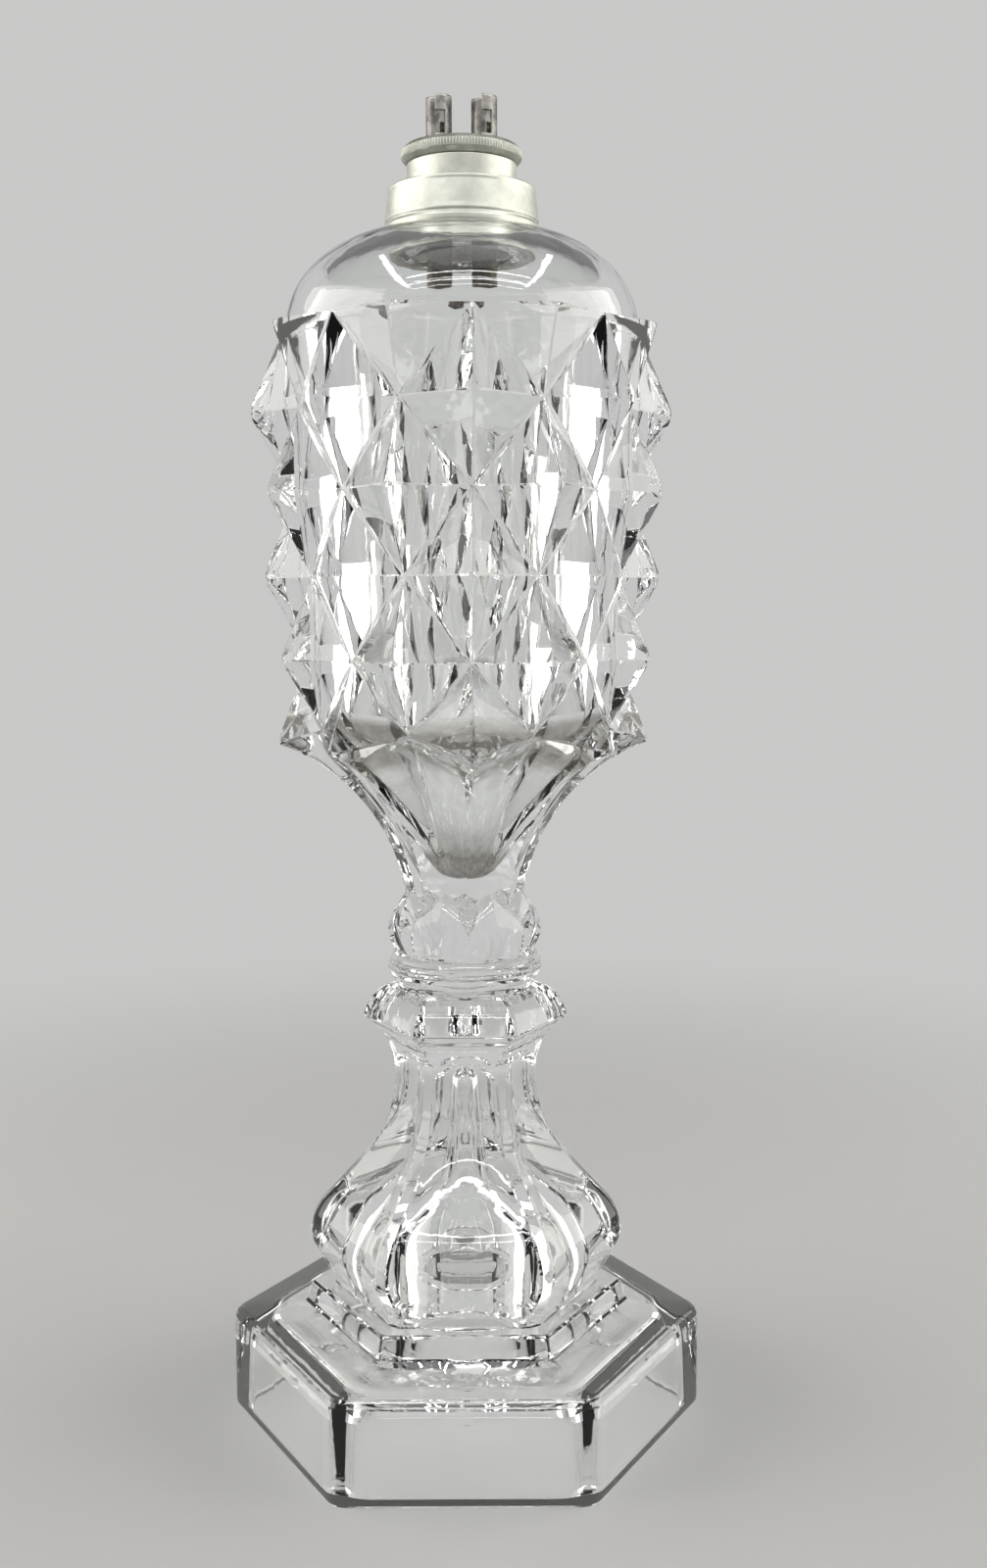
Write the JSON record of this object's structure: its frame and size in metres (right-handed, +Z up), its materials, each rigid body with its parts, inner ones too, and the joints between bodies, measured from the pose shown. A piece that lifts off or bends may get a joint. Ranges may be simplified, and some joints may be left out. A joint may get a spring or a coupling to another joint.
{
  "type": "whale oil lamp",
  "caption": "Pressed glass whale oil lamp: diamond-point font on a fluted hexagonal pedestal, with a pewter collar and a lift-out burner with wick tubes.",
  "frame": {"origin": "middle of the plinth's underside, on the surface that the lamp stands on", "axes": "+Z up along the lamp's axis, -Y towards the front with the pick slots, +X to the viewer's right"},
  "size_m": [0.1048, 0.092, 0.2864],
  "materials": {
    "clear_glass": "fire polished pressed glass",
    "pewter": "satin with soft wear",
    "dull_pewter": "dull oxidised",
    "tin": "dull grey with rubbed edges",
    "solder": "rough",
    "plaster": "matt, stained brown by oil",
    "cotton": "braided cotton with a charred top"
  },
  "bodies": {
    "lamp": {"pedestal": "clear_glass", "joining_wafer": "clear_glass", "font": "clear_glass", "collar": "pewter", "collar_plaster": "plaster"},
    "burner": {"burner_cap": "dull_pewter", "wick_tube_left": "tin", "wick_tube_right": "tin", "tube_solder_left": "solder", "tube_solder_right": "solder"},
    "left_wick": {"wick_left": "cotton"},
    "right_wick": {"wick_right": "cotton"}
  },
  "joints": [
    {"name": "burner_lift", "type": "slide", "parent": "lamp", "child": "burner", "axis": [0, 0, 1], "range_m": [0, 0.03]},
    {"name": "wick_left_raise", "type": "slide", "parent": "burner", "child": "left_wick", "axis": [0, 0, 1], "range_m": [-0.003, 0.005]},
    {"name": "wick_right_raise", "type": "slide", "parent": "burner", "child": "right_wick", "axis": [0, 0, 1], "range_m": [-0.003, 0.005]}
  ]
}
